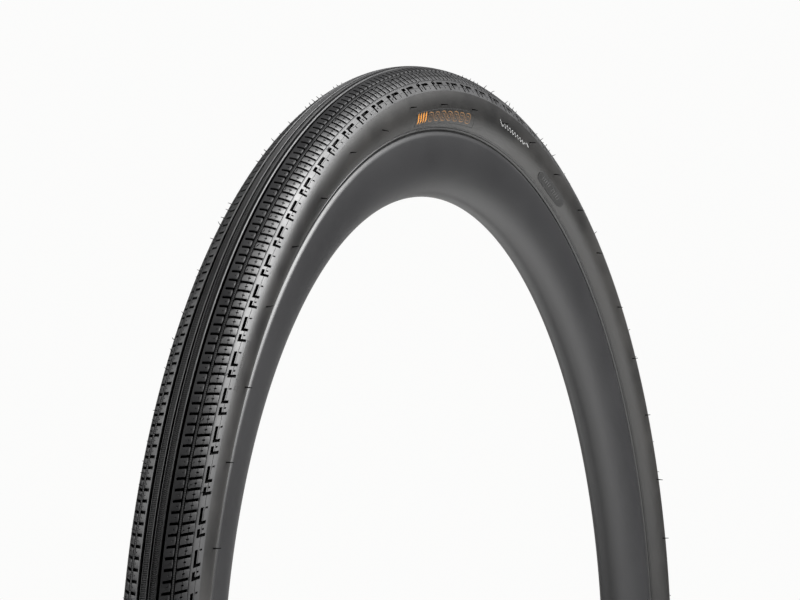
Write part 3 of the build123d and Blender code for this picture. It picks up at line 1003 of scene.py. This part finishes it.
def tread_material():
    """Satin rubber with painted shade down in the slots: it turns matt and black with depth,
    standing in for the shade there.
    """
    nodes = Nodes("tread_rubber")
    mottle, fine = nodes.noise(45.0), nodes.noise(2600.0, 3.0)
    tone = nodes.mix(nodes.spread(mottle, 0.0, 1.0), (0.014, 0.014, 0.015), (0.024, 0.024, 0.025))
    sunk = nodes.add("ShaderNodeAttribute", attribute_name="sunk").outputs["Fac"]
    # painted shade: the deeper a point, the nearer its colour goes to near-black and the weaker its
    # reflection
    deep = nodes.spread(sunk, 0.0, 1.0, 0.12, 0.55)
    nodes.feed(Base_Color=nodes.mix(deep, tone, (0.002, 0.002, 0.002)),
               Roughness=nodes.spread(mottle, 0.40, 0.52),
               Specular_IOR_Level=nodes.spread(deep, 0.55, 0.02, 0.0, 1.0),
               Normal=nodes.bump(fine, 0.3, 0.00006))
    return nodes.material


def woven_material(name, dark, light, threads):
    """Cord or cloth: fine crossing waves over a mottled tone."""
    nodes = Nodes(name)
    waves = [
        nodes.add("ShaderNodeTexWave", {"Vector": nodes.place, "Scale": threads, "Distortion": 0.6},
                  bands_direction=direction).outputs["Fac"]
        for direction in ("X", "Z")
    ]
    cross = nodes.add("ShaderNodeMath", {0: waves[0], 1: waves[1]}, operation="MULTIPLY")
    weave = cross.outputs["Value"]
    nodes.feed(Base_Color=nodes.mix(weave, dark, light),
               Roughness=0.8,
               Normal=nodes.bump(weave, 0.5, 0.0002))
    return nodes.material


def coat(piece, material):
    piece.data.materials.clear()
    piece.data.materials.append(material)


def coat_everything(made):
    """Gives every piece and every carried-over CAD node its procedural material."""
    tread = tread_material()
    side = surface_material("sidewall_rubber", (0.007, 0.007, 0.007), (0.016, 0.015, 0.014),
                            (0.34, 0.46), patch=22.0, grain=3200.0, bump=0.25, depth=0.00004)
    plate = surface_material("plate_rubber", (0.003, 0.003, 0.003), (0.006, 0.006, 0.006),
                             (0.6, 0.75), grain=2200.0, bump=0.8, depth=0.0001)
    pip = surface_material("pip_rubber", (0.05, 0.05, 0.05), (0.08, 0.08, 0.08), (0.35, 0.45))
    hair = surface_material("hair_rubber", (0.001, 0.001, 0.001), (0.003, 0.003, 0.003),
                            (0.6, 0.8), grain=3000.0, Specular_IOR_Level=0.1)
    cloth = surface_material("chafer_rubber", (0.008, 0.008, 0.008), (0.015, 0.015, 0.015),
                             (0.36, 0.46), patch=90.0, grain=2400.0, bump=0.5, depth=0.00006)
    rim = surface_material("rim_laminate", (0.008, 0.008, 0.009), (0.011, 0.011, 0.012),
                           (0.41, 0.45), patch=14.0, grain=5200.0, bump=0.12, depth=0.00003)
    gold = surface_material("label_film", (0.10, 0.050, 0.018), (0.17, 0.085, 0.028), (0.45, 0.6),
                            patch=120.0)
    orange = surface_material("bar_film", (0.36, 0.13, 0.012), (0.50, 0.20, 0.02), (0.45, 0.6),
                              patch=160.0)
    pale = surface_material("pale_film", (0.18, 0.18, 0.18), (0.34, 0.34, 0.34), (0.4, 0.55),
                            patch=200.0)
    alloy = surface_material("valve_alloy", (0.02, 0.02, 0.021), (0.035, 0.035, 0.037),
                             (0.28, 0.38), grain=6000.0, Metallic=0.85)
    brass = surface_material("core_metal", (0.55, 0.47, 0.30), (0.66, 0.58, 0.40), (0.22, 0.34),
                             grain=7000.0, Metallic=1.0)
    seal = surface_material("seal_rubber", (0.012, 0.012, 0.012), (0.02, 0.02, 0.02), (0.5, 0.65))
    tape = surface_material("rim_tape_film", (0.5, 0.36, 0.05), (0.62, 0.46, 0.09), (0.25, 0.35))
    cord = woven_material("casing_cord", (0.05, 0.04, 0.03), (0.16, 0.13, 0.09), 900.0)
    aramid = woven_material("aramid_cord", (0.35, 0.25, 0.06), (0.55, 0.42, 0.12), 900.0)
    # each piece's material, by the start of its name
    made_coats = {
        "tread": tread, "vent_hairs": hair, "sidewall_rubber": side, "chafer_strip": cloth,
        "rim_shell": rim, "valve_stem_threaded": alloy, "rim_nut_knurled": alloy,
        "pin_nut_knurled": brass, "size_label": gold, "size_bars": orange,
        "size_frame": plate, "band_label": pale,
        "moulded_plate": plate, "moulded_pips": pip, "moulded_ticks": side,
    }
    for piece in made:
        for start, material in made_coats.items():
            if piece.name.startswith(start):
                coat(piece, material)
    node_coats = {
        "breaker_belt": aramid, "bead_core_left": aramid, "bead_core_right": aramid,
        "casing_outer_ply": cord, "casing_inner_ply": cord, "inner_liner": seal,
        "rim_tape": tape, "core_body": brass, "valve_pin": brass, "core_gasket": seal,
        "pin_seal": seal, "valve_base_plug": seal, "rim_nut_o_ring": seal,
    }
    for node, material in node_coats.items():
        coat(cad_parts[node], material)


# ======== Stage: floor, light and camera ========
STUDIO_FILL = 0.07
# unit bearing from the camera through the wheel, where the bright backdrop stands
BACKDROP = (0.915, 0.400, 0.065)
# the cosines from that bearing where the backdrop's glow starts and is full, and its strength
GLOW_START = 0.90
GLOW_FULL = 0.99
GLOW_LEVEL = 0.85
# the camera, as fitted to the tyre's outlines in the photograph: degrees, metres and millimetres
CAMERA_AZIMUTH = -66.2585
CAMERA_ELEVATION = -3.7479
CAMERA_DISTANCE = 1.86943
CAMERA_ASIDE = -0.022095
CAMERA_ABOVE = 0.222734
CAMERA_LENS = 150.7
CAMERA_SENSOR = 36.0


def make_floor():
    """A pale floor disc under the wheel that fades out towards its edge."""
    count, reach, gap = 96, 5.0, 0.0005
    fade_start, fade_end = 1.5, 4.6
    edge = level_circle(even_turns(count), reach, 0.0)
    points = np.concatenate([edge, np.zeros((1, 3))])
    points[:, 2] = cad_low[2] - gap
    here = np.arange(count)
    fan = np.stack([here, (here + 1) % count, np.full(count, count)], axis=1)
    floor = make_object("floor", points, [], fan)
    nodes = Nodes("floor_paint")
    mottle = nodes.spread(nodes.noise(3.0), 0.0, 1.0)
    tone = nodes.mix(mottle, (0.88, 0.88, 0.87), (0.92, 0.92, 0.91))
    distance = nodes.add("ShaderNodeVectorMath", {0: nodes.place}, operation="LENGTH")
    nodes.feed(Base_Color=tone, Roughness=0.9,
               Alpha=nodes.spread(distance.outputs["Value"], 1.0, 0.0, fade_start, fade_end))
    coat(floor, nodes.material)


def make_world():
    """The camera sees near-white all round; reflections see a glow only behind the wheel."""
    world = bpy.data.worlds.new("studio")
    bpy.context.scene.world = world
    world.use_nodes = True
    tree = world.node_tree
    tree.nodes.clear()

    def add(kind, inputs=(), **settings):
        return add_node(tree, kind, inputs, **settings)

    bearing = add("ShaderNodeTexCoord").outputs["Generated"]
    towards = add("ShaderNodeVectorMath", {0: bearing, 1: BACKDROP}, operation="DOT_PRODUCT")
    inputs = {"Value": towards.outputs["Value"], "From Min": GLOW_START, "From Max": GLOW_FULL,
              "To Min": STUDIO_FILL, "To Max": GLOW_LEVEL}
    glow = add("ShaderNodeMapRange", inputs, interpolation_type="SMOOTHSTEP").outputs["Result"]
    seen = add("ShaderNodeBackground", {"Color": (1.0, 0.985, 0.955, 1.0), "Strength": glow})
    plain = add("ShaderNodeBackground", {"Color": (0.97, 0.97, 0.965, 1.0), "Strength": 1.0})
    path = add("ShaderNodeLightPath")
    mix = add("ShaderNodeMixShader", {0: path.outputs["Is Camera Ray"],
                                      1: seen.outputs["Background"],
                                      2: plain.outputs["Background"]})
    add("ShaderNodeOutputWorld", {"Surface": mix.outputs["Shader"]})


def frame_matrix(place, right, up, back):
    return Matrix([[right[i], up[i], back[i], place[i]] for i in range(3)] + [[0, 0, 0, 1]])


def make_softbox(name, bearing, distance, size, power):
    """A square area light that looks at the wheel's middle from along a bearing."""
    light = bpy.data.lights.new(name, "AREA")
    light.size, light.energy = size, power
    lamp = bpy.data.objects.new(name, light)
    back = np.array(bearing, float)
    back /= np.linalg.norm(back)
    right = np.cross([0.0, 0.0, 1.0], back)
    right /= np.linalg.norm(right)
    lamp.matrix_world = frame_matrix(back * distance, right, np.cross(back, right), back)
    bpy.context.collection.objects.link(lamp)


def make_camera():
    """The photograph's viewpoint: in front of the tread, a little to the -Y side and low."""
    azimuth, elevation = math.radians(CAMERA_AZIMUTH), math.radians(CAMERA_ELEVATION)
    back = np.array([
        math.sin(azimuth) * math.cos(elevation),
        -math.cos(azimuth) * math.cos(elevation),
        math.sin(elevation),
    ])
    right = np.array([math.cos(azimuth), math.sin(azimuth), 0.0])
    up = np.cross(back, right)
    place = back * CAMERA_DISTANCE + right * CAMERA_ASIDE + up * CAMERA_ABOVE
    camera = bpy.data.cameras.new("camera")
    camera.sensor_width = CAMERA_SENSOR
    camera.lens = CAMERA_LENS
    camera.clip_end = 100.0
    eye = bpy.data.objects.new("camera", camera)
    eye.matrix_world = frame_matrix(place, right, up, back)
    bpy.context.collection.objects.link(eye)
    bpy.context.scene.camera = eye


pieces = [
    make_tread(),
    make_sidewall("sidewall_rubber_left", 1),
    make_sidewall("sidewall_rubber_right", -1),
    make_chafer("chafer_strip_left", "chafer_left", 1),
    make_chafer("chafer_strip_right", "chafer_right", -1),
    make_rim(),
    make_vent_hairs(),
    make_valve_stem(),
    make_rim_nut(),
    make_pin_nut(),
]
for side_sign, side_word in ((1, "left"), (-1, "right")):
    pieces.extend(make_size_label(side_sign, side_word))
    pieces.append(make_band_label(side_sign, side_word))
    pieces.extend(make_plate(side_sign, side_word))
    pieces.append(make_serration(side_sign, side_word))
coat_everything(pieces)
make_floor()
make_world()
make_softbox("key", bearing=(0.28, -0.72, 0.64), distance=2.4, size=1.4, power=150.0)
make_softbox("back_fill", bearing=(-0.40, 0.62, 0.52), distance=2.6, size=2.0, power=62.0)
make_camera()
bpy.context.scene.view_settings.view_transform = "Standard"
